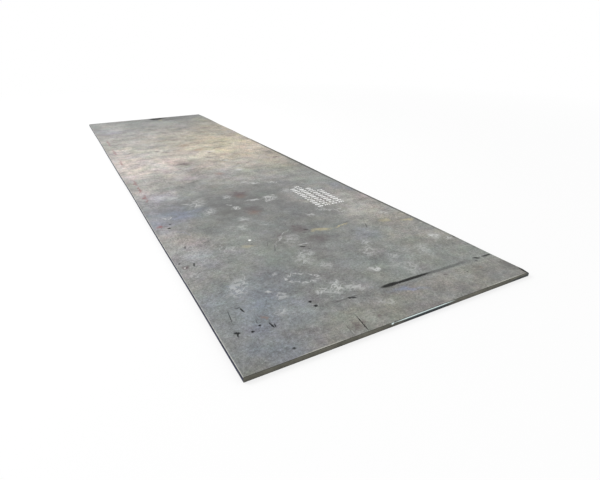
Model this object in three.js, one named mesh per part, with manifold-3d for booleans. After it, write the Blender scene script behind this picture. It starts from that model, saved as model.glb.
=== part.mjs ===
// A heavy hot-rolled steel plate, as it comes from the mill: one solid, lying flat.
//
// Millimetres. X runs across the width, Y along the rolling direction and Z up. The origin is the
// middle of the underside. The long edges keep the form that the rolls left: rounded over at the
// top and the foot, with a flat land between. The ends are flame cut square across, so their top
// arris is melted round and their foot is almost sharp. One corner was knocked in handling.

import * as THREE from 'three';
import { mergeVertices } from 'three/addons/utils/BufferGeometryUtils.js';
import Module from 'manifold-3d';

// Stock size
const plateLength = 8000;
const plateWidth = 2200;
const plateThickness = 35;

// Long edges, as rolled
const rolledTopRadius = 5;
const rolledFootRadius = 4;

// Ends, as flame cut
const cutTopRadius = 2;
const cutFootRadius = 0.8;

// The knocked corner: a facet that runs out this far along each of the three edges meeting there
const knockAlongLength = 90;
const knockAlongWidth = 22;
const knockDown = 13;

// Making
const arcSteps = 8; // facets on each rounded arris
const overrun = 60; // how far a cutting form stands past the plate

const steelGrey = '#8b8b86';

const wasm = await Module();
wasm.setup();

// The outline of a bar seen on its end: flat on top and below, its corners rounded.
function barOutline(span, topRadius, footRadius) {
  const side = span / 2;
  const quarter = Math.PI / 2;
  const outline = new THREE.Shape();
  outline.moveTo(footRadius - side, 0);
  outline.lineTo(side - footRadius, 0);
  outline.absarc(side - footRadius, footRadius, footRadius, -quarter, 0);
  outline.lineTo(side, plateThickness - topRadius);
  outline.absarc(side - topRadius, plateThickness - topRadius, topRadius, 0, quarter);
  outline.lineTo(topRadius - side, plateThickness);
  outline.absarc(topRadius - side, plateThickness - topRadius, topRadius, quarter, 2 * quarter);
  outline.lineTo(-side, footRadius);
  outline.absarc(footRadius - side, footRadius, footRadius, 2 * quarter, 3 * quarter);
  return outline;
}

// An outline drawn out to a length, centred, with its height along Z.
function drawnOut(outline, length) {
  const geometry = new THREE.ExtrudeGeometry(outline, {
    depth: length,
    curveSegments: arcSteps,
    bevelEnabled: false,
  });
  geometry.translate(0, 0, -length / 2);
  geometry.rotateX(Math.PI / 2);
  return geometry;
}

function solidOf(geometry) {
  const bare = geometry.clone();
  bare.deleteAttribute('normal');
  bare.deleteAttribute('uv');
  const merged = mergeVertices(bare);
  const vertProperties = new Float32Array(merged.attributes.position.array);
  const triVerts = new Uint32Array(merged.index.array);
  return new wasm.Manifold(new wasm.Mesh({ numProp: 3, vertProperties, triVerts }));
}

function geometryOf(solid) {
  const mesh = solid.getMesh();
  const geometry = new THREE.BufferGeometry();
  geometry.setAttribute('position', new THREE.BufferAttribute(mesh.vertProperties, mesh.numProp));
  geometry.setIndex(new THREE.BufferAttribute(mesh.triVerts, 1));
  geometry.computeVertexNormals();
  return geometry;
}

// The strip as it leaves the rolls, longer than the plate that is cut from it.
function rolledStrip() {
  const section = barOutline(plateWidth, rolledTopRadius, rolledFootRadius);
  return solidOf(drawnOut(section, plateLength + 2 * overrun));
}

// What the two end cuts leave: the plate's side view, drawn out across the width and beyond.
function betweenEndCuts() {
  const sideView = barOutline(plateLength, cutTopRadius, cutFootRadius);
  const geometry = drawnOut(sideView, plateWidth + 2 * overrun);
  geometry.rotateZ(Math.PI / 2);
  return solidOf(geometry);
}

// What the knock took off: a block that stands on the facet's plane, outside the corner.
function knockedOff() {
  const corner = new THREE.Vector3(plateWidth / 2, -plateLength / 2, plateThickness);
  const alongLength = corner.clone().add(new THREE.Vector3(0, knockAlongLength, 0));
  const alongWidth = corner.clone().add(new THREE.Vector3(-knockAlongWidth, 0, 0));
  const down = corner.clone().add(new THREE.Vector3(0, 0, -knockDown));
  const facet = new THREE.Plane().setFromCoplanarPoints(alongLength, alongWidth, down);
  const middle = new THREE.Triangle(alongLength, alongWidth, down).getMidpoint(new THREE.Vector3());
  const side = 2 * (knockAlongLength + knockAlongWidth + knockDown);
  const block = new THREE.BoxGeometry(side, side, side);
  block.translate(0, 0, side / 2);
  const up = new THREE.Vector3(0, 0, 1);
  block.applyQuaternion(new THREE.Quaternion().setFromUnitVectors(up, facet.normal));
  block.translate(middle.x, middle.y, middle.z);
  return solidOf(block);
}

function steelPlate() {
  const solid = rolledStrip().intersect(betweenEndCuts()).subtract(knockedOff());
  const steel = new THREE.MeshStandardMaterial({
    color: steelGrey,
    metalness: 0.7,
    roughness: 0.6,
  });
  const plate = new THREE.Mesh(geometryOf(solid), steel);
  plate.name = 'steel_plate';
  return plate;
}

const model = new THREE.Group();
model.add(steelPlate());

export default model;
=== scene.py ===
"""A heavy hot-rolled steel plate lying flat on a pale studio floor: grey mill scale with yard dust,
painted shade and a painted reflection of the sky, shoe scuffs, scrapes and a block of sprayed numbers
on top, rolled long edges and flame-cut ends."""

from math import cos, pi, radians, sin

import bpy
from mathutils import Matrix, Vector


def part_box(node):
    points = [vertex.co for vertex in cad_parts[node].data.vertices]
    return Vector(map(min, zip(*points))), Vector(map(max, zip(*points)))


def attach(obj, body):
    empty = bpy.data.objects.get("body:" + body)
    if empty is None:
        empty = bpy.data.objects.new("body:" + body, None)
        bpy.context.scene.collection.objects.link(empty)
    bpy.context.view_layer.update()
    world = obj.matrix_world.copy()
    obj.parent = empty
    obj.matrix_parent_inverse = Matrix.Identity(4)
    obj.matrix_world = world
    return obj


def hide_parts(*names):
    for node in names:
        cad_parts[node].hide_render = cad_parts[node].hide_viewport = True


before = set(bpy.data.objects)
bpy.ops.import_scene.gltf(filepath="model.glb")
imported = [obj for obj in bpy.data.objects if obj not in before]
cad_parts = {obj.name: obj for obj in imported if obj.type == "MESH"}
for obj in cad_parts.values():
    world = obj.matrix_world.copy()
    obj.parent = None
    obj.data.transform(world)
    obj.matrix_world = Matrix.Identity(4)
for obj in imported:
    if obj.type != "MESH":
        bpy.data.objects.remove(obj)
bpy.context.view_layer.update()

MM = 0.001

# ---------------------------------------------------------------- the plate's sizes, in metres
LOW, HIGH = (Vector(corner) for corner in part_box("steel_plate"))
WIDTH, LENGTH, GAUGE = HIGH - LOW
LEFT, RIGHT, NEAR, TOP = LOW.x, HIGH.x, LOW.y, HIGH.z

ROLLED_TOP, ROLLED_FOOT = 5 * MM, 4 * MM  # rounding of the long edges
CUT_ARRIS = 1.6 * MM  # rounding of the flame-cut ends
KNOCK_LENGTH, KNOCK_WIDTH, KNOCK_DOWN = 90 * MM, 22 * MM, 13 * MM  # the knocked corner
FLAT_SPAN, FLAT_DEPTH = 600 * MM, 1.6 * MM  # the slight hollows that rolling leaves in the face
BAYS, ROWS, COLUMNS = 10, 36, 99  # the mesh's bays along its length, rows in each, and columns
ROW = LENGTH / BAYS / ROWS
ROUND_STEPS, ARRIS_STEPS = 6, 3  # facets across a long edge's rounding, and across an end's arris
SMOOTH_BELOW = radians(35)  # faces that meet at less than this are shaded as one
SAME = 0.1 * MM  # places nearer than this are the same
SQUARE_ON = 0.99  # the cosine from which a face counts as facing squarely in a direction


# ---------------------------------------------------------------- camera
EYE = Vector((LEFT - 552 * MM, NEAR - 1648 * MM, TOP + 1564 * MM))
HEADING = radians(28.28)  # to the right of the plate's length
DIP = radians(25.14)  # below the horizon
LEAN = radians(0.67)  # clockwise, as a hand-held camera leans
FILM_WIDTH, LENS = 36, 26.45  # millimetres
SIGHT = 200  # metres


def stand_camera():
    """At a person's eye height, off the near left corner, looking along the plate."""
    ahead = Vector((sin(HEADING) * cos(DIP), cos(HEADING) * cos(DIP), -sin(DIP)))
    level = Vector((cos(HEADING), -sin(HEADING), 0))
    below = ahead.cross(level)
    right = level * cos(LEAN) + below * sin(LEAN)
    up = right.cross(ahead)
    lens = bpy.data.cameras.new("camera")
    lens.sensor_width = FILM_WIDTH
    lens.lens = LENS
    lens.clip_end = SIGHT
    camera = bpy.data.objects.new("camera", lens)
    bpy.context.collection.objects.link(camera)
    turn = Matrix((right, up, -ahead)).transposed()
    camera.matrix_world = Matrix.Translation(EYE) @ turn.to_4x4()
    bpy.context.scene.camera = camera


stand_camera()


# ---------------------------------------------------------------- colours and nodes
def colour(code):
    """An sRGB hex colour as linear values."""
    shares = [int(code[i : i + 2], 16) / 255 for i in (1, 3, 5)]
    return [s / 12.92 if s <= 0.04045 else ((s + 0.055) / 1.055) ** 2.4 for s in shares] + [1.0]


def node(tree, kind, sockets=(), out=0, **settings):
    """Adds one node with its settings, gives its sockets values or links, and returns an output. A
    Mix node's sockets 2 and 3 are the numbers that it mixes. Its 6 and 7 are the colours, and those
    leave by output 2."""
    made = tree.nodes.new(kind)
    for name, value in settings.items():
        setattr(made, name, value)
    for key, value in dict(sockets).items():
        if isinstance(value, bpy.types.NodeSocket):
            tree.links.new(value, made.inputs[key])
        else:
            made.inputs[key].default_value = value
    return made.outputs[out] if made.outputs else None


def new_material(name):
    material = bpy.data.materials.new(name)
    material.use_nodes = True
    material.node_tree.nodes.clear()
    return material


# ---------------------------------------------------------------- floor, backdrop and lamps
# Metres, watts and strengths of light.
FLOOR_SIZE, FLOOR_DROP = 120, 0.2 * MM  # the floor lies a little under the plate, so neither cuts in
FLOOR_NEAR, FLOOR_FAR = 4.0, 11.0  # the floor's glow grows between these distances
NEAR_GLOW, FAR_GLOW = 0.7, 1.0  # from this to this
SKY_LIGHT, SKY_SEEN = 0.85, 1.0  # how the sky lights things, and how the camera and gloss see it
KEY_PLACE, KEY_SIZE, KEY_POWER = (-8, 5, 9), 6, 850


def studio_paper():
    """Matt white studio paper. The camera sees it white, and it still takes the plate's shadow."""
    material = new_material("white studio paper")
    tree = material.node_tree
    paper = node(tree, "ShaderNodeBsdfDiffuse", {"Color": colour("#f4f4f4")})
    glow = node(tree, "ShaderNodeEmission", {"Color": (1, 1, 1, 1), "Strength": 1.0})
    here = node(tree, "ShaderNodeTexCoord", out="Object")
    away = node(tree, "ShaderNodeVectorMath", {0: here}, out="Value", operation="LENGTH")
    share = node(tree, "ShaderNodeMapRange", {"Value": away, "From Min": FLOOR_NEAR,
                 "From Max": FLOOR_FAR, "To Min": NEAR_GLOW, "To Max": FAR_GLOW})
    seen = node(tree, "ShaderNodeLightPath", out="Is Camera Ray")
    factor = node(tree, "ShaderNodeMath", {0: seen, 1: share}, operation="MULTIPLY")
    both = node(tree, "ShaderNodeMixShader", {0: factor, 1: paper, 2: glow})
    node(tree, "ShaderNodeOutputMaterial", {"Surface": both})
    return material


def lay_floor():
    bpy.ops.mesh.primitive_plane_add(size=FLOOR_SIZE, location=(0, 0, -FLOOR_DROP))
    floor = bpy.context.active_object
    floor.name = "floor"
    floor.data.materials.append(studio_paper())


def hang_lamp(name, place, size, watts):
    """A round soft lamp, aimed at the middle of the plate."""
    light = bpy.data.lights.new(name, "AREA")
    light.shape = "DISK"
    light.size = size
    light.energy = watts
    lamp = bpy.data.objects.new(name, light)
    bpy.context.collection.objects.link(lamp)
    lamp.location = place
    lamp.rotation_euler = (-Vector(place)).to_track_quat("-Z", "Y").to_euler()


def light_studio():
    world = bpy.data.worlds.new("studio")
    bpy.context.scene.world = world
    world.use_nodes = True
    tree = world.node_tree
    tree.nodes.clear()
    camera_ray = node(tree, "ShaderNodeLightPath", out="Is Camera Ray")
    glossy_ray = node(tree, "ShaderNodeLightPath", out="Is Glossy Ray")
    seen = node(tree, "ShaderNodeMath", {0: camera_ray, 1: glossy_ray}, operation="MAXIMUM")
    strength = node(tree, "ShaderNodeMapRange", {"Value": seen, "To Min": SKY_LIGHT,
                    "To Max": SKY_SEEN})
    sky = node(tree, "ShaderNodeBackground", {"Color": (1, 1, 1, 1), "Strength": strength})
    node(tree, "ShaderNodeOutputWorld", {"Surface": sky})
    hang_lamp("key lamp", KEY_PLACE, KEY_SIZE, KEY_POWER)


# ---------------------------------------------------------------- the plate's mesh
def deselect_all():
    bpy.ops.object.select_all(action="DESELECT")


def select_edges(piece, wanted):
    """In edit mode, selects only the edges whose two ends pass the test."""
    bpy.ops.object.mode_set(mode="EDIT")
    bpy.ops.mesh.select_mode(type="EDGE")
    bpy.ops.mesh.select_all(action="DESELECT")
    bpy.ops.object.mode_set(mode="OBJECT")
    points = piece.data.vertices
    for edge in piece.data.edges:
        a, b = (points[i].co for i in edge.vertices)
        edge.select = wanted(a, b)
    bpy.ops.object.mode_set(mode="EDIT")


def select_faces(piece, wanted):
    """In edit mode, selects only the faces whose middle and normal pass the test."""
    bpy.ops.object.mode_set(mode="EDIT")
    bpy.ops.mesh.select_mode(type="FACE")
    bpy.ops.mesh.select_all(action="DESELECT")
    bpy.ops.object.mode_set(mode="OBJECT")
    for face in piece.data.polygons:
        face.select = wanted(face.center, face.normal)
    bpy.ops.object.mode_set(mode="EDIT")


def on_line(a, b, x, z):
    """Whether an edge's two ends lie on the long line at x and z."""
    return all(abs(p.x - x) < SAME and abs(p.z - z) < SAME for p in (a, b))


def model_plate():
    """A block cut into rows and columns, its long edges rounded as the rolls leave them and its
    ends' arrises melted round."""
    deselect_all()
    bpy.ops.mesh.primitive_cube_add(size=1, location=(LOW + HIGH) / 2)
    plate = bpy.context.active_object
    plate.name = "plate"
    plate.scale = HIGH - LOW
    bpy.ops.object.transform_apply(location=True, rotation=True, scale=True)

    for parts in (BAYS, ROWS):  # in two steps, because one step makes 100 cuts at most
        select_edges(plate, lambda a, b: abs(a.y - b.y) > ROW * 1.5)
        bpy.ops.mesh.subdivide(number_cuts=parts - 1)
    select_edges(plate, lambda a, b: abs(a.x - b.x) > WIDTH / 2)
    bpy.ops.mesh.subdivide(number_cuts=COLUMNS - 1)

    for height, radius in ((TOP, ROLLED_TOP), (0, ROLLED_FOOT)):
        select_edges(plate, lambda a, b: on_line(a, b, LEFT, height) or on_line(a, b, RIGHT, height))
        bpy.ops.mesh.bevel(offset=radius, segments=ROUND_STEPS, affect="EDGES")
    select_faces(plate, lambda middle, normal: abs(normal.y) > SQUARE_ON)
    bpy.ops.mesh.region_to_loop()
    bpy.ops.mesh.bevel(offset=CUT_ARRIS, segments=ARRIS_STEPS, affect="EDGES")

    bpy.ops.object.mode_set(mode="OBJECT")
    return plate


def knock_corner(plate):
    """Takes the knocked corner off, along the plane through its three run-out points, and returns
    the direction that its facet faces."""
    corner = Vector((RIGHT, NEAR, TOP))
    along_length = corner + Vector((0, KNOCK_LENGTH, 0))
    along_width = corner - Vector((KNOCK_WIDTH, 0, 0))
    down = corner - Vector((0, 0, KNOCK_DOWN))
    outward = (along_width - along_length).cross(down - along_length).normalized()
    side = 2 * KNOCK_LENGTH
    bpy.ops.mesh.primitive_cube_add(
        size=side,
        location=(along_length + along_width + down) / 3 + outward * side / 2,
        rotation=outward.to_track_quat("Z", "Y").to_euler(),
    )
    knock = bpy.context.active_object
    cut = plate.modifiers.new("knock", "BOOLEAN")
    cut.object = knock
    cut.solver = "EXACT"
    bpy.context.view_layer.objects.active = plate
    bpy.ops.object.modifier_apply(modifier=cut.name)
    bpy.data.objects.remove(knock)
    return outward


def press_down(piece, name, size, depth, wanted):
    """Presses the points that are wanted down by up to the depth, in smooth hollows of the size."""
    cloud = bpy.data.textures.new(name, "CLOUDS")
    cloud.noise_scale = size
    cloud.noise_depth = 1
    group = piece.vertex_groups.new(name=name)
    group.add([point.index for point in piece.data.vertices if wanted(point.co)], 1, "ADD")
    press = piece.modifiers.new(name, "DISPLACE")
    press.texture = cloud
    press.texture_coords = "LOCAL"
    press.direction = "Z"
    press.vertex_group = name
    press.mid_level = 0
    press.strength = -depth
    bpy.context.view_layer.objects.active = piece
    bpy.ops.object.modifier_apply(modifier=name)
    piece.vertex_groups.clear()


# ---------------------------------------------------------------- marks on the upper face
# Each kind of mark is a table of ovals. Ovals of one shape stand together under (turn in degrees,
# length for its width); a positive turn leans left going away. Then each oval is (across from the
# left edge, along from the near end, width), in millimetres, and its strength. The upper face has
# 221 ovals, which is near what Blender's renderer takes in one material. With five more the face
# comes out black, so a new mark takes the place of an old one.
# Pale drifts of yard dust, which also carry a painted reflection of the sky, so that the upper face is
# palest past its middle.
DUST_AND_REFLECTION_DRIFTS = {
    (0, 0.65): (
        (700, 4450, 5000, 1.0),
        (1000, 5900, 6500, 0.5),
        (1200, 3250, 2600, 0.22),
    ),
    (0, 1.2): (
        (1900, 4700, 1700, 1.0),
        (300, 5350, 800, 0.9),
        (1600, 2150, 700, 0.2),
    ),
    (0, 2.2): (
        (100, 4300, 1000, 1.0),
        (150, 3100, 700, 0.55),
        (120, 1700, 900, 0.32),
        (2000, 1750, 1000, 0.42),
        (350, 7300, 900, 0.36),
    ),
}
# Painted shade: ovals that darken the upper face in broad zones, over the scale and under the dust.
SHADED_SCALE = {
    (0, 1): (
        (1050, 2450, 1500, 1.0),
        (750, 2250, 1300, 1.0),
        (1500, 1950, 1000, 0.6),
        (2100, 2200, 700, 0.6),
        (1130, 1450, 1150, 0.55),
        (900, 900, 1300, 0.35),
        (800, 1700, 500, 0.4),
        (80, 1400, 350, 0.5),
        (2120, 150, 450, 0.8),
        (303, 2609, 600, 0.6),
        (500, 2620, 620, 0.85),
        (900, 2620, 700, 1.0),
        (1350, 2200, 800, 1.0),
        (1750, 2200, 750, 0.6),
        (1400, 6600, 1700, 0.5),
    ),
    (0, 0.4): (
        (1750, 7850, 2300, 1.0),
        (1600, 7900, 1300, 0.8),
    ),
}
# Painted shade: dark ovals laid over the dust, which darken the far part of the upper face in broad
# zones.
SHADE_OVER_DUST = {
    (0, 1): (
        (1000, 3750, 500, 0.3),
        (950, 4150, 760, 0.7),
        (700, 4700, 800, 0.3),
        (2150, 4750, 500, 0.3),
        (1750, 5350, 500, 0.3),
        (1060, 5850, 900, 0.5),
        (1750, 6400, 1300, 0.65),
        (1000, 7000, 900, 0.45),
        (1450, 7800, 1000, 0.6),
        (2120, 7200, 1100, 0.55),
        (300, 6700, 1000, 0.3),
        (500, 7850, 700, 0.3),
    ),
}
# A warm film of rusty dust, with a painted warm reflection in it.
WARM_DUST_AND_REFLECTION = {
    (0, 1.6): (
        (1700, 5000, 2600, 1.0),
        (2000, 6300, 1500, 0.6),
        (1980, 1100, 1100, 0.2),
    ),
    (0, 1): (
        (1950, 3600, 1300, 0.5),
        (1816, 4712, 700, 0.4),
        (2050, 7300, 1000, 0.5),
        (2130, 5500, 700, 1.0),
        (2130, 4100, 450, 0.8),
    ),
}
FRONT_BAND = {(0, 0.157): ((2000, -60, 5200, 1.0),)}
BLUE_SCALE = {
    (0, 1): (
        (330, 600, 1150, 0.6),
        (250, 130, 700, 0.55),
        (263, 2480, 800, 1.0),
        (150, 1400, 700, 0.5),
        (2068, 2330, 420, 1.0),
        (1551, 1100, 420, 0.3),
        (250, 6950, 1300, 0.45),
        (120, 2180, 620, 0.9),
        (150, 2850, 600, 0.9),
    ),
    (0, 2.5): (
        (165, 850, 80, 0.8),
        (280, 1950, 60, 0.7),
    ),
    (0, 0.35): ((1200, 290, 330, 1.0),),
}
STAINS = {
    (60, 1): (
        (1010, 2650, 290, 1.0),
        (963, 2149, 260, 0.7),
        (1193, 1246, 264, 0.6),
        (1130, 1480, 228, 0.7),
        (818, 4142, 240, 1.0),
        (1309, 4581, 132, 0.9),
        (667, 5060, 144, 0.8),
    ),
    (60, 1.7): (
        (1117, 1565, 96, 0.7),
        (1066, 5713, 132, 0.8),
        (2046, 3872, 114, 1.0),
        (1225, 4320, 84, 0.7),
    ),
    (-45, 5): ((903, 1426, 60, 0.55),),
    (5, 4): (
        (758, 90, 46, 0.7),
        (800, 80, 30, 0.7),
        (695, 68, 30, 0.6),
    ),
    (0, 1.4): (
        (755, 70, 110, 0.55),
        (934, 90, 62, 1.0),
        (60, 1290, 80, 1.0),
        (2190, 60, 34, 1.0),
    ),
}
RUST_BLOOM = {
    (60, 1): (
        (1230, 4846, 231, 1.0),
        (1115, 5240, 330, 0.6),
        (1079, 3480, 198, 0.75),
        (1000, 2560, 187, 0.5),
        (940, 2060, 220, 0.55),
        (101, 4014, 77, 0.9),
    ),
    (0, 2): (
        (308, 420, 36, 1.0),
        (1953, 214, 34, 0.8),
    ),
}
PRIMER_DRIPS = {
    (60, 1.6): (
        (63, 2152, 56, 1.0),
        (113, 7056, 60, 0.6),
    ),
    (0, 9): (
        (105, 2990, 38, 0.9),
        (105, 3350, 38, 1.0),
        (104, 3640, 36, 0.9),
    ),
    (0, 16): (
        (104, 4650, 36, 0.8),
        (105, 5300, 38, 0.8),
        (108, 6000, 40, 0.8),
    ),
}
DRIED_CLAY = {
    (60, 1): (
        (1222, 1403, 78, 0.7),
        (1907, 1281, 136, 0.55),
        (1310, 7700, 130, 0.7),
    ),
    (70, 2.7): (
        (1297, 1392, 95, 0.7),
        (600, 1393, 66, 0.4),
        (2100, 1190, 76, 0.6),
    ),
    (-79, 7.6): ((1501, 1374, 34, 0.9),),
}
SHOE_SCUFFS = {
    (60, 1): (
        (250, 2925, 140, 0.8),
        (346, 2869, 130, 0.85),
        (420, 3065, 150, 0.6),
        (837, 2258, 125, 1.0),
        (869, 2621, 150, 0.8),
        (1251, 2358, 230, 0.7),
        (1368, 3527, 140, 1.0),
        (1227, 3010, 130, 0.65),
        (1507, 2491, 190, 0.65),
        (476, 1411, 110, 0.65),
        (712, 1778, 150, 0.55),
        (803, 1964, 165, 0.55),
        (1476, 976, 150, 0.5),
        (942, 1046, 190, 0.65),
        (779, 507, 140, 0.75),
        (513, 593, 120, 0.55),
        (427, 435, 125, 0.55),
        (584, 869, 80, 0.5),
        (993, 815, 140, 0.5),
        (1262, 580, 115, 1.0),
        (1518, 691, 150, 0.5),
        (2055, 804, 150, 0.95),
        (2124, 707, 110, 0.85),
        (2026, 1450, 120, 0.8),
        (80, 1140, 140, 0.45),
        (1540, 1830, 130, 0.5),
    ),
    (60, 0.6): (
        (290, 824, 360, 0.6),
        (883, 503, 270, 0.85),
        (1394, 844, 270, 0.65),
        (1518, 479, 320, 0.45),
        (1814, 668, 240, 0.5),
        (893, 968, 300, 0.5),
        (968, 1339, 290, 0.5),
        (574, 2309, 270, 0.75),
        (531, 2593, 400, 0.55),
    ),
    (60, 1.7): (
        (996, 445, 125, 0.65),
        (1066, 200, 120, 0.4),
        (1300, 2918, 115, 1.0),
        (1517, 2839, 90, 0.85),
        (1384, 1744, 70, 0.85),
        (175, 2327, 85, 1.0),
        (1369, 4067, 110, 0.9),
        (1351, 4649, 110, 0.9),
    ),
    (60, 4): ((1595, 1767, 70, 0.8),),
}
SOLE_RIMS = {
    (60, 1.9): ((737, 730, 155, 1.0),),
    (60, 1): ((1692, 1697, 100, 1.0),),
}
PALE_STROKES = {
    (60, 4): (
        (423, 2614, 27, 0.8),
        (503, 2733, 22, 0.7),
        (543, 2518, 27, 0.8),
        (808, 2380, 24, 0.9),
        (797, 1925, 28, 0.5),
        (901, 1753, 36, 0.45),
        (1314, 2436, 24, 0.8),
        (1271, 2413, 24, 0.7),
        (449, 676, 20, 0.8),
        (1206, 2282, 28, 0.7),
    ),
    (80, 4.5): (
        (1070, 2395, 50, 0.9),
        (1250, 2414, 34, 0.7),
        (1031, 1205, 24, 0.8),
    ),
    (-45, 9): (
        (884, 1390, 24, 0.6),
        (985, 1490, 22, 0.6),
    ),
    (-20, 15): (
        (508, 2524, 17, 0.7),
        (1203, 2344, 17, 0.8),
        (1238, 2338, 17, 0.7),
        (408, 1486, 15, 0.5),
        (432, 1440, 16, 0.5),
        (375, 914, 13, 0.5),
        (800, 1290, 12, 0.6),
    ),
}
SCRAPES = {
    (0, 0.25): (
        (1222, 348, 215, 1.0),
        (2142, 332, 125, 0.9),
        (203, 596, 44, 1.0),
        (1330, 7955, 440, 1.0),
    ),
    (0, 0.08): (
        (1400, 343, 520, 1.0),
        (1700, 337, 560, 0.5),
        (860, 352, 280, 0.45),
    ),
    (60, 1): (
        (885, 350, 34, 0.9),
        (35, 1368, 26, 0.9),
        (132, 2083, 40, 1.0),
        (159, 2168, 32, 0.85),
        (2189, 960, 30, 0.8),
        (145, 1826, 20, 0.7),
        (192, 324, 28, 1.0),
        (251, 360, 24, 1.0),
        (332, 76, 26, 0.9),
        (637, 436, 33, 1.0),
        (646, 378, 36, 1.0),
        (2007, 308, 32, 0.6),
        (1815, 218, 20, 0.8),
        (1255, 7905, 340, 1.0),
    ),
    (60, 2): (
        (107, 355, 27, 1.0),
        (907, 341, 28, 0.9),
        (1650, 268, 20, 0.6),
        (2040, 340, 36, 0.9),
        (986, 1168, 34, 0.9),
        (1016, 1114, 20, 0.6),
        (1180, 1457, 30, 0.7),
        (1140, 1406, 22, 0.6),
    ),
    (8, 5): (
        (219, 562, 16, 1.0),
        (315, 330, 16, 1.0),
    ),
    (-13, 3.7): (
        (104, 338, 16, 1.0),
        (332, 318, 14, 0.9),
        (250, 402, 12, 0.6),
        (130, 1300, 22, 0.85),
        (150, 1627, 20, 0.7),
        (2190, 715, 26, 0.7),
        (2182, 38, 36, 1.0),
    ),
    (-8, 22): (
        (126, 523, 8, 0.8),
        (794, 85, 10, 1.0),
        (692, 68, 8, 0.4),
    ),
    # Painted shade: this one long thin dark line runs along the right edge.
    (0, 100): ((2185, 3200, 60, 0.85),),
    (-26, 10): (
        (390, 572, 10, 0.5),
        (778, 1249, 15, 0.5),
        (759, 1354, 12, 0.4),
        (1688, 1262, 14, 0.7),
    ),
}
PAINT_SPOTS = {
    (0, 1): (
        (660, 1495, 34, 1.0),
        (55, 1284, 18, 0.7),
    ),
}
# Painted highlight: a pale line along the near end's top arris.
ARRIS_HIGHLIGHT = {
    (0, 0.025): (
        (475, 3, 420, 1.0),
        (1950, 3, 480, 1.0),
    ),
}
# On the near end face each oval is (across from the left edge, height above the floor, width).
# The bright streak along the near end's rim is bare ground steel and a painted highlight in one.
GROUND_STREAK_AND_GLEAM = {
    (0, 0.028): (
        (1130, 26.5, 440, 1.0),
        (1300, 27, 420, 1.0),
    ),
    (0, 0.8): ((957, 25.5, 26, 1.0),),
}
BARE_CUT = {
    (0, 0.06): (
        (1225, 12, 560, 1.0),
        (2150, 10, 420, 0.8),
    ),
    (0, 0.5): ((2212, 17, 110, 1.0),),
}


# ---------------------------------------------------------------- the plate's materials
CLOUD_SWING = 5.6  # how far the scale's clouding swings its brightness
GRIT_SWING = 2.2  # and how far its grit does
CAST_SWING = (0.5, 0.45, 0.55)  # and how far each channel swings apart from the others
CLOUD_SIZE, CAST_SIZE = 500, 300  # millimetres

# These are finer on a real plate, and are drawn as coarse as they need to show. In millimetres.
SCALE_GRIT, UNDER_GRIT = 6, 7  # the scale's grit, on the upper and the under face
GRIT_SIZE = 18  # the light and dark spots that it makes
TREAD_STROKE = 16  # the broken strokes that a shoe's tread leaves
DRAG_LINE = 2.5  # from one of the cut's drag lines to the next
SPRAY_SPECKLE = 3  # the paint's speckle
HAIRLINE = 5  # the fine pale and dark scratches

# How far the bumps of each finish stand up.
GRIT_HEIGHT, DRAG_HEIGHT, PAINT_HEIGHT = 0.15 * MM, 0.4 * MM, 0.05 * MM
EDGE_HEIGHT, RUBBED_HEIGHT = 0.5 * MM, 0.3 * MM

SCALE_IOR = 1.8  # a thin, dusty skin of iron oxide, less than the clean oxide's 2.4
NOISE_SPREAD = 4  # noise seldom strays past a quarter from its middle, and this takes it to one
FLATTEN = 1000  # takes a place's height out of a pattern


def face_plan(tree):
    """Places on the upper face in millimetres, across from the left edge and along from the near
    end."""
    here = node(tree, "ShaderNodeTexCoord", out="Object")
    return node(tree, "ShaderNodeMapping", {"Vector": here, "Location": (LEFT, NEAR, TOP),
                "Scale": (MM, MM, MM)}, vector_type="TEXTURE")


def end_plan(tree):
    """Places on an end face in millimetres, across from the left edge and up from the floor."""
    here = node(tree, "ShaderNodeTexCoord", out="Object")
    scaled = node(tree, "ShaderNodeMapping", {"Vector": here, "Location": (LEFT, NEAR, 0),
                  "Scale": (MM, MM, MM)}, vector_type="TEXTURE")
    return node(tree, "ShaderNodeMapping", {"Vector": scaled, "Rotation": (-pi / 2, 0, 0)})


def ragged(tree, places, size, reach):
    """The same places, moved by up to the reach in lumps of the size, so that an edge is torn."""
    lumps = node(tree, "ShaderNodeTexNoise", {"Vector": places, "Scale": 1 / size, "Detail": 4},
                 out="Color", noise_dimensions="2D")
    shift = node(tree, "ShaderNodeVectorMath", {0: lumps, 1: (0.5, 0.5, 0.5)}, operation="SUBTRACT")
    spread = NOISE_SPREAD * reach
    return node(tree, "ShaderNodeVectorMath", {0: shift, 1: (spread, spread, 0), 2: places},
                operation="MULTIPLY_ADD")


def marks(tree, places, table, soft):
    """How strongly a table of marks shows, 0 to 1. soft is the share of each oval's radius over
    which it fades."""
    shown = 0.0
    for (turn, stretch), ovals in table.items():
        lean = radians(turn)
        shape = node(tree, "ShaderNodeMapping", {"Vector": places, "Rotation": (0, 0, lean),
                     "Scale": (1, stretch, FLATTEN)}, vector_type="TEXTURE")
        for across, along, wide, strength in ovals:
            middle = (across * cos(lean) + along * sin(lean),
                      (along * cos(lean) - across * sin(lean)) / stretch, 0)
            off = node(tree, "ShaderNodeVectorMath", {0: shape, 1: middle}, out="Value",
                       operation="DISTANCE")
            mark = node(tree, "ShaderNodeMapRange", {"Value": off, "From Min": wide / 2,
                        "From Max": wide / 2 * (1 - soft), "To Max": strength},
                        interpolation_type="SMOOTHSTEP")
            shown = node(tree, "ShaderNodeMath", {0: mark, 1: shown}, operation="MAXIMUM")
    return shown


def grain(tree, places, size, low, high, detail=3.0, rough=0.5):
    """Noise in lumps of the size in millimetres, stretched so that its values from low to high run
    from 0 to 1. More detail adds finer lumps to it, and rough is how strong those are."""
    lumps = node(tree, "ShaderNodeTexNoise", {"Vector": places, "Scale": 1 / size, "Detail": detail,
                 "Roughness": rough})
    return node(tree, "ShaderNodeMapRange", {"Value": lumps, "From Min": low, "From Max": high})


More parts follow.
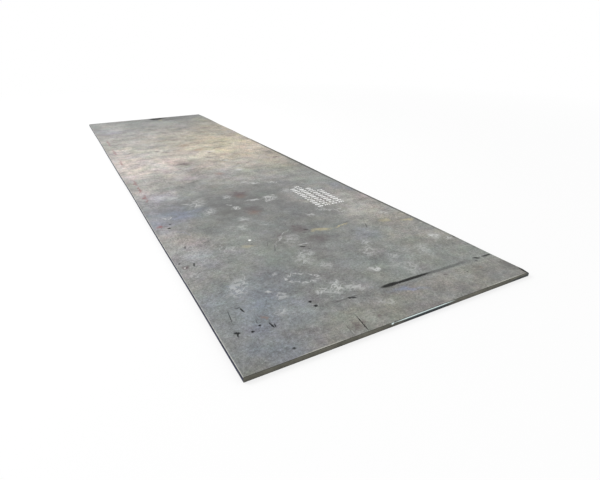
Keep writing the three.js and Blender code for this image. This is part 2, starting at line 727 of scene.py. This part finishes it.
def marked_mill_scale():
    """Mill scale: the thin blue-grey oxide skin that hot rolling leaves on steel. It is satin, not
    metallic and a little cloudy, with painted shade that darkens it in broad zones, also over the dust.
    Yard dust lies on it with a painted reflection of the sky, both palest past the middle of the plate,
    and there are shoe scuffs, scrapes, stains, paint spots, a painted highlight along the near end's
    arris and a painted dark line along the right edge."""
    material = new_material("mill scale, marked upper face")
    tree = material.node_tree
    face = face_plan(tree)
    drifting = ragged(tree, face, 350, 130)
    lumpy = ragged(tree, face, 60, 20)
    torn = ragged(tree, face, 9, 3)
    dragged, drawn = (  # places for hairlines, forty times as long as wide, leaning two ways
        node(tree, "ShaderNodeMapping", {"Vector": lumpy, "Rotation": (0, 0, radians(lean)),
             "Scale": (1, 40, 1)}, vector_type="TEXTURE")
        for lean in (-35, 12)
    )

    fine = grain(tree, face, SCALE_GRIT, 0.35, 0.65, 3, 0.6)
    patchy = grain(tree, face, 60, 0.34, 0.62, 6, 0.7)
    settled = grain(tree, face, 150, 0.30, 0.66, 8, 0.8)
    thin = node(tree, "ShaderNodeMapRange", {"Value": settled, "To Min": 0.6})
    strokes = [
        grain(tree, node(tree, "ShaderNodeMapping", {"Vector": lumpy, "Rotation": (0, 0, radians(lean)),
                         "Scale": (1, 4, 1)}, vector_type="TEXTURE"), TREAD_STROKE, 0.51, 0.58, 2)
        for lean in (40, -55)
    ]
    crossed = node(tree, "ShaderNodeMath", {0: strokes[0], 1: strokes[1]}, operation="MAXIMUM")
    tread = node(tree, "ShaderNodeMapRange", {"Value": crossed, "To Min": 0.1})
    dense = node(tree, "ShaderNodeMapRange", {"Value": patchy, "To Min": 0.4})
    solid = node(tree, "ShaderNodeMapRange", {"Value": fine, "To Min": 0.85})

    films = (  # from the scale up: where it lies, its colour, its roughness and how much shows
        (marks(tree, lumpy, FRONT_BAND, 0.2), "#77736a", 0.6, 0.6),
        (marks(tree, drifting, BLUE_SCALE, 1.0), "#5a6887", 0.42, 0.8),
        # painted shade
        (marks(tree, drifting, SHADED_SCALE, 1.0), "#2c2d2b", 0.42, 1.0),
        # yard dust and painted sky reflection
        (marks(tree, drifting, DUST_AND_REFLECTION_DRIFTS, 1.0), "#c6bcb4", 0.85, 1.0),
        # painted shade over the dust
        (marks(tree, drifting, SHADE_OVER_DUST, 1.0), "#34322f", 0.6, 0.9),
        # warm dust and painted warm reflection
        (marks(tree, drifting, WARM_DUST_AND_REFLECTION, 1.0), "#bfae84", 0.8, 0.5),
    )
    # A rim shows where its oval is half faded, and neither inside nor outside it.
    rims = node(tree, "ShaderNodeMath", {0: marks(tree, lumpy, SOLE_RIMS, 0.45), 1: 0.5},
                operation="PINGPONG")
    # On the films: where it lies, what breaks it up, its colour, roughness, specular level and how
    # much shows. The export drops a specular level that varies, so dark marks shine more there.
    prints = (
        (grain(tree, face, 170, 0.50, 0.80, 2), tread, "#b2b3b0", 0.8, 0.5, 0.3),
        (grain(tree, face, 120, 0.54, 0.80, 3), dense, "#4e4a45", 0.5, 0.5, 0.35),
        (grain(tree, dragged, HAIRLINE, 0.58, 0.85), settled, "#bfc0bd", 0.7, 0.5, 0.35),
        (grain(tree, drawn, HAIRLINE, 0.60, 0.85), settled, "#434240", 0.5, 0.3, 0.4),
        (marks(tree, lumpy, STAINS, 0.9), dense, "#4a383b", 0.6, 0.3, 1.0),
        (marks(tree, lumpy, RUST_BLOOM, 1.0), dense, "#8a6450", 0.8, 0.3, 0.7),
        (marks(tree, lumpy, PRIMER_DRIPS, 0.6), dense, "#7f4d50", 0.6, 0.3, 0.9),
        (marks(tree, lumpy, DRIED_CLAY, 0.9), dense, "#c4b88c", 0.85, 0.5, 0.9),
        (marks(tree, lumpy, SHOE_SCUFFS, 0.75), tread, "#c5c6c5", 0.8, 0.5, 0.8),
        (marks(tree, lumpy, PALE_STROKES, 0.8), solid, "#c2c3c2", 0.8, 0.5, 0.9),
        (rims, tread, "#c2c3c2", 0.8, 0.5, 1.8),
        (marks(tree, torn, SCRAPES, 0.5), solid, "#1f1f1f", 0.6, 0.0, 1.0),
        (marks(tree, torn, ARRIS_HIGHLIGHT, 0.6), solid, "#b8b8ac", 0.5, 0.5, 0.8),
        (marks(tree, torn, PAINT_SPOTS, 0.4), solid, "#f4f4f0", 0.5, 0.5, 1.0),
    )
    tone = colour("#6c6f6b")
    satin = 0.5
    shine = 0.5
    for where, code, roughness, strength in films:
        share = node(tree, "ShaderNodeMath", {0: where, 1: strength}, operation="MULTIPLY")
        share = node(tree, "ShaderNodeMath", {0: share, 1: thin}, operation="MULTIPLY")
        tone = node(tree, "ShaderNodeMix", {0: share, 6: tone, 7: colour(code)}, out=2, data_type="RGBA")
        satin = node(tree, "ShaderNodeMix", {0: share, 2: satin, 3: roughness})
    brightness = node(tree, "ShaderNodeTexNoise", {"Vector": face, "Scale": 1 / CLOUD_SIZE,
                      "Detail": 9, "Roughness": 0.98})
    grit = node(tree, "ShaderNodeTexNoise", {"Vector": face, "Scale": 1 / GRIT_SIZE, "Detail": 2,
                "Roughness": 1.0})
    cast = node(tree, "ShaderNodeTexNoise", {"Vector": face, "Scale": 1 / CAST_SIZE, "Detail": 6,
                "Roughness": 0.8}, out="Color")
    clouds = ((brightness, (CLOUD_SWING,) * 3), (grit, (GRIT_SWING,) * 3), (cast, CAST_SWING))
    for cloud, swing in clouds:
        gain = node(tree, "ShaderNodeVectorMath", {0: cloud, 1: swing,
                    2: [1 - part / 2 for part in swing]}, operation="MULTIPLY_ADD")
        tone = node(tree, "ShaderNodeVectorMath", {0: tone, 1: gain}, operation="MULTIPLY")
    for where, broken, code, roughness, specular, strength in prints:
        share = node(tree, "ShaderNodeMath", {0: where, 1: strength}, operation="MULTIPLY")
        share = node(tree, "ShaderNodeMath", {0: share, 1: broken}, operation="MULTIPLY")
        tone = node(tree, "ShaderNodeMix", {0: share, 6: tone, 7: colour(code)}, out=2, data_type="RGBA")
        satin = node(tree, "ShaderNodeMix", {0: share, 2: satin, 3: roughness})
        shine = node(tree, "ShaderNodeMix", {0: share, 2: shine, 3: specular})

    bump = node(tree, "ShaderNodeBump", {"Height": fine, "Strength": 0.5, "Distance": GRIT_HEIGHT})
    skin = node(tree, "ShaderNodeBsdfPrincipled", {"Base Color": tone, "Roughness": satin,
                "IOR": SCALE_IOR, "Specular IOR Level": shine, "Normal": bump})
    node(tree, "ShaderNodeOutputMaterial", {"Surface": skin})
    return material


def plain_mill_scale():
    """The same skin on the under face, clean and darker, with a little rust bloom."""
    material = new_material("mill scale, under face")
    tree = material.node_tree
    face = face_plan(tree)
    clouds = grain(tree, face, 260, 0.30, 0.70, 9, 0.72)
    bloom = grain(tree, face, 420, 0.50, 0.72, 8, 0.75)
    fine = grain(tree, face, UNDER_GRIT, 0.38, 0.62, 3, 0.6)
    tone = node(tree, "ShaderNodeMix", {0: clouds, 6: colour("#4f5256"), 7: colour("#676966")},
                out=2, data_type="RGBA")
    tone = node(tree, "ShaderNodeMix", {0: bloom, 6: tone, 7: colour("#6b5848")}, out=2,
                data_type="RGBA")
    bump = node(tree, "ShaderNodeBump", {"Height": fine, "Strength": 0.5, "Distance": GRIT_HEIGHT})
    skin = node(tree, "ShaderNodeBsdfPrincipled", {"Base Color": tone, "Roughness": 0.5,
                "IOR": SCALE_IOR, "Normal": bump})
    node(tree, "ShaderNodeOutputMaterial", {"Surface": skin})
    return material


def flame_cut_face():
    """Oxygen-cut steel: fine drag lines run down the cut, and a dull olive-grey oxide covers it. It is
    darker along its top rim and towards its foot. The near end also has a bare patch, and a bright
    streak along its rim that is bare steel, where a grinder dressed it, and a painted highlight in one."""
    material = new_material("flame-cut steel, oxidised")
    tree = material.node_tree
    face = end_plan(tree)
    torn = ragged(tree, face, 6, 1.2)
    drag = node(tree, "ShaderNodeMapping", {"Vector": face, "Scale": (1, 12, 1)}, vector_type="TEXTURE")
    lines = grain(tree, drag, DRAG_LINE, 0.35, 0.65, 2, 0.5)
    clouds = grain(tree, face, 90, 0.35, 0.65, 5, 0.6)
    height = node(tree, "ShaderNodeSeparateXYZ", {0: torn}, out="Y")
    foot = node(tree, "ShaderNodeMapRange", {"Value": height, "From Min": 7, "From Max": 2,
                "To Max": 0.75})
    rim = node(tree, "ShaderNodeMapRange", {"Value": height, "From Min": 30, "From Max": 32.5,
               "To Max": 0.8})
    tone = node(tree, "ShaderNodeMix", {0: clouds, 6: colour("#4e4d43"), 7: colour("#67655a")},
                out=2, data_type="RGBA")
    layers = (
        (foot, "#26251f"),
        (marks(tree, torn, BARE_CUT, 0.5), "#222b2f"),
        (marks(tree, torn, GROUND_STREAK_AND_GLEAM, 0.6), "#e4f4f4"),
        (rim, "#26251f"),
    )
    for share, code in layers:
        tone = node(tree, "ShaderNodeMix", {0: share, 6: tone, 7: colour(code)}, out=2, data_type="RGBA")
    bump = node(tree, "ShaderNodeBump", {"Height": lines, "Strength": 0.8, "Distance": DRAG_HEIGHT})
    skin = node(tree, "ShaderNodeBsdfPrincipled", {"Base Color": tone, "Roughness": 0.6, "IOR": 1.5,
                "Normal": bump})
    node(tree, "ShaderNodeOutputMaterial", {"Surface": skin})
    return material


def rolled_edge_and_shade():
    """The as-rolled long edge: thick dull oxide, nearly black with a blue cast, with painted shade in
    it.
    """
    material = new_material("as-rolled edge, dark oxide and painted shade")
    tree = material.node_tree
    face = face_plan(tree)
    clouds = grain(tree, face, 60, 0.35, 0.65, 6, 0.65)
    tone = node(tree, "ShaderNodeMix", {0: clouds, 6: colour("#1c2031"), 7: colour("#33384c")},
                out=2, data_type="RGBA")
    bump = node(tree, "ShaderNodeBump", {"Height": clouds, "Strength": 0.6, "Distance": EDGE_HEIGHT})
    skin = node(tree, "ShaderNodeBsdfPrincipled", {"Base Color": tone, "Roughness": 0.75,
                "IOR": 1.45, "Specular IOR Level": 0.3, "Normal": bump})
    node(tree, "ShaderNodeOutputMaterial", {"Surface": skin})
    return material


def rubbed_arris_and_highlight():
    """The rounding above the left edge: scale rubbed pale by slings and shoes, with a painted highlight
    along it.
    """
    material = new_material("mill scale, rubbed pale, with painted highlight")
    tree = material.node_tree
    face = face_plan(tree)
    clouds = grain(tree, face, 90, 0.32, 0.62, 6, 0.7)
    tone = node(tree, "ShaderNodeMix", {0: clouds, 6: colour("#85857e"), 7: colour("#bcbcb2")},
                out=2, data_type="RGBA")
    bump = node(tree, "ShaderNodeBump", {"Height": clouds, "Strength": 0.4,
                "Distance": RUBBED_HEIGHT})
    skin = node(tree, "ShaderNodeBsdfPrincipled", {"Base Color": tone, "Roughness": 0.5, "IOR": 1.6,
                "Normal": bump})
    node(tree, "ShaderNodeOutputMaterial", {"Surface": skin})
    return material


def sprayed_paint():
    """White marking paint, sprayed thin and dry. It is worn off in patches, where grey shows."""
    material = new_material("white marking paint, dry spray")
    tree = material.node_tree
    face = face_plan(tree)
    worn = grain(tree, face, 45, 0.54, 0.72, 5, 0.7)
    tone = node(tree, "ShaderNodeMix", {0: worn, 6: colour("#ffffff"), 7: colour("#b4b5b0")}, out=2,
                data_type="RGBA")
    speckle = grain(tree, face, SPRAY_SPECKLE, 0.35, 0.65, 2, 0.5)
    bump = node(tree, "ShaderNodeBump", {"Height": speckle, "Strength": 0.4,
                "Distance": PAINT_HEIGHT})
    skin = node(tree, "ShaderNodeBsdfPrincipled", {"Base Color": tone, "Roughness": 0.75, "IOR": 1.5,
                "Normal": bump})
    node(tree, "ShaderNodeOutputMaterial", {"Surface": skin})
    return material


def coat(piece, finish, wanted):
    """Gives a finish to the faces that pass the test."""
    piece.data.materials.append(finish)
    bpy.context.view_layer.objects.active = piece
    select_faces(piece, wanted)
    piece.active_material_index = len(piece.data.materials) - 1
    bpy.ops.object.material_slot_assign()
    bpy.ops.object.mode_set(mode="OBJECT")


# ---------------------------------------------------------------- the sprayed numbers
# Plain digits from the plate's own sizes, run together as a machine sprays them: rows of dots, read
# along the plate.
NUMBER_ROWS = ("800022003500", "3522008000035", "22008000350", "350080002")
ROW_MIDDLES = (1590, 1668, 1752, 1836)  # each row, across from the left edge
ROWS_START = 1880  # along from the near end
CHARACTER_PITCH = 54
DOT_ACROSS, DOT_UP = 6.2, 8.4  # from dot to dot, with dots that just touch
DOT_SIDES, DOT_RADIUS = 8, 0.49  # a dot's width is one
MIDDLE_ROW = 3  # of a digit's seven rows of dots
ABOVE = 5 * MM  # where the digits wait before they are laid on the plate
PAINT_GAP, PAINT_FILM = 0.03 * MM, 0.1 * MM
DIGIT_DOTS = {
    "0": ("01110", "11011", "11011", "11011", "11011", "11011", "01110"),
    "2": ("01110", "11011", "00011", "00110", "01100", "11000", "11111"),
    "3": ("11110", "00011", "00011", "01110", "00011", "00011", "11110"),
    "5": ("11111", "11000", "11110", "00011", "00011", "11011", "01110"),
    "8": ("01110", "11011", "11011", "01110", "11011", "11011", "01110"),
}


def model_digit(figure):
    """One digit of eight-sided dots, its middle row starting at the origin."""
    dots = DIGIT_DOTS[figure]
    deselect_all()
    started = False
    for row, line in enumerate(dots):
        for column, mark in enumerate(line):
            if mark == "1":
                bpy.ops.mesh.primitive_circle_add(
                    vertices=DOT_SIDES,
                    radius=DOT_RADIUS / cos(pi / DOT_SIDES),
                    fill_type="NGON",
                    location=(column, MIDDLE_ROW - row, 0),
                    rotation=(0, 0, pi / DOT_SIDES),
                )
                if not started:
                    started = True
                    bpy.ops.object.transform_apply(location=True, rotation=True, scale=True)
                    bpy.ops.object.mode_set(mode="EDIT")
    bpy.ops.object.mode_set(mode="OBJECT")
    digit = bpy.context.active_object
    digit.name = "digit_" + figure
    return digit


def spray_numbers(plate):
    """Copies the digits into their rows, lays them on the plate and gives the paint its film."""
    patterns = {figure: model_digit(figure) for figure in DIGIT_DOTS}
    sprayed = []
    for across, row in zip(ROW_MIDDLES, NUMBER_ROWS):
        for step, figure in enumerate(row):
            digit = patterns[figure].copy()
            digit.data = patterns[figure].data.copy()
            bpy.context.collection.objects.link(digit)
            along = ROWS_START + step * CHARACTER_PITCH
            digit.location = (LEFT + across * MM, NEAR + along * MM, TOP + ABOVE)
            digit.rotation_euler = (0, 0, pi / 2)
            digit.scale = (DOT_ACROSS * MM, DOT_UP * MM, 1)
            sprayed.append(digit)
    for pattern in patterns.values():
        bpy.data.objects.remove(pattern)
    deselect_all()
    for digit in sprayed:
        digit.select_set(True)
    numbers = sprayed[0]
    bpy.context.view_layer.objects.active = numbers
    bpy.ops.object.join()
    bpy.ops.object.transform_apply(location=True, rotation=True, scale=True)
    numbers.name = "sprayed_numbers"
    numbers.data.name = "sprayed_numbers"
    lay = numbers.modifiers.new("lay", "SHRINKWRAP")
    lay.target = plate
    lay.wrap_method = "PROJECT"
    lay.use_project_z = True
    lay.use_negative_direction = True
    lay.use_positive_direction = False
    lay.offset = PAINT_GAP
    bpy.ops.object.modifier_apply(modifier=lay.name)
    film = numbers.modifiers.new("film", "SOLIDIFY")
    film.thickness = PAINT_FILM
    film.offset = 1
    bpy.ops.object.modifier_apply(modifier=film.name)
    return numbers


# ---------------------------------------------------------------- the plate, put together
# How far the mill left each long edge inside a straight line: (along from the near end, depth,
# length of the hollow), in millimetres.
LEFT_HOLLOWS = ((900, 2.5, 1500), (3300, 4, 2000), (6200, 3, 1900))
RIGHT_HOLLOWS = ((300, 6, 1200), (2350, 10, 2600), (5500, 8, 1200), (6600, 10, 1300), (8000, 14, 700))
TAPER = 150 * MM  # how far in from the edge the face shares its hollows
HEADROOM = 2  # a weight stops at one, and where two hollows meet they add up to more than the deepest


def hollow_out(piece, name, hollows, edge, direction):
    """Presses a long edge in along X by smooth hollows, less and less away from the edge."""
    deepest = max(depth for along, depth, length in hollows)
    group = piece.vertex_groups.new(name=name)
    for point in piece.data.vertices:
        near_edge = 1 - abs(point.co.x - edge) / TAPER
        if near_edge > 0:
            along = (point.co.y - NEAR) / MM
            pressed = sum(
                depth * (1 + cos(2 * pi * (along - middle) / length)) / 2
                for middle, depth, length in hollows
                if abs(along - middle) < length / 2
            )
            group.add([point.index], near_edge * pressed / deepest / HEADROOM, "ADD")
    press = piece.modifiers.new(name, "DISPLACE")
    press.direction = "X"
    press.vertex_group = name
    press.mid_level = 0
    press.strength = HEADROOM * deepest * MM * direction
    bpy.context.view_layer.objects.active = piece
    bpy.ops.object.modifier_apply(modifier=name)
    piece.vertex_groups.clear()


# The map through which the export bakes the plate's finish into a picture. Each side has a strip of
# its own: (where it starts, how wide it is), as shares of the map's width. The marked upper face has
# most. The export looks for a map of this name, and no material here reads it.
MAP_NAME = "OFBake"
LIES_FLAT = 0.3  # how far a face's direction goes up or down before it belongs to the flat faces
MAP_STRIPS = {
    "upper": (0.002, 0.778),
    "under": (0.79, 0.13),
    "left": (0.93, 0.014),
    "right": (0.95, 0.014),
    "near": (0.97, 0.014),
    "far": (0.99, 0.008),
}


def side_of(normal):
    """The side of the plate that a face belongs to. The roundings go with the upper and under face."""
    if abs(normal.z) > LIES_FLAT:
        return "upper" if normal.z > 0 else "under"
    if abs(normal.x) > abs(normal.y):
        return "left" if normal.x < 0 else "right"
    return "near" if normal.y < 0 else "far"


def lay_out_map(piece):
    """Unfolds the plate into its strips, each running the height of the map."""
    layer = piece.data.uv_layers.new(name=MAP_NAME)
    for face in piece.data.polygons:
        side = side_of(face.normal)
        start, width = MAP_STRIPS[side]
        for corner in face.loop_indices:
            point = piece.data.vertices[piece.data.loops[corner].vertex_index].co
            across, along, up = (point.x - LEFT) / WIDTH, (point.y - NEAR) / LENGTH, point.z / GAUGE
            aside = across if side in ("upper", "under") else up
            onward = across if side in ("near", "far") else along
            layer.data[corner].uv = (start + width * aside, onward)


plate = model_plate()
press_down(plate, "flatness", FLAT_SPAN, FLAT_DEPTH, lambda p: p.z > TOP - ROLLED_TOP / 2)
hollow_out(plate, "left_edge", LEFT_HOLLOWS, LEFT, 1)
hollow_out(plate, "right_edge", RIGHT_HOLLOWS, RIGHT, -1)
knocked = knock_corner(plate)
deselect_all()
plate.select_set(True)
edge_oxide_and_shade = rolled_edge_and_shade()

# The coats go on in this order, and a later one covers an earlier. A face's direction is a unit
# vector: a z of -1 faces straight down, an x of -1 straight left.
coat(plate, marked_mill_scale(), lambda middle, normal: True)
coat(plate, plain_mill_scale(), lambda middle, normal: normal.z < -0.7)
coat(plate, rubbed_arris_and_highlight(), lambda middle, normal: normal.x < -0.2)
# The dark edge finish, oxide and painted shade in one, covers the left side and the right rounding.
coat(plate, edge_oxide_and_shade, lambda middle, normal: normal.x < -0.85 or normal.x > 0.15)
coat(plate, flame_cut_face(), lambda middle, normal: abs(normal.y) > 0.5)
# The knocked corner's facet gets the same dark finish, as painted shade.
coat(plate, edge_oxide_and_shade, lambda middle, normal: normal.dot(knocked) > SQUARE_ON)
bpy.ops.object.shade_smooth_by_angle(angle=SMOOTH_BELOW)
lay_out_map(plate)
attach(plate, "root")
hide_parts("steel_plate")

numbers = spray_numbers(plate)
numbers.data.materials.append(sprayed_paint())
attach(numbers, "root")

lay_floor()
light_studio()
bpy.context.scene.view_settings.view_transform = "Standard"
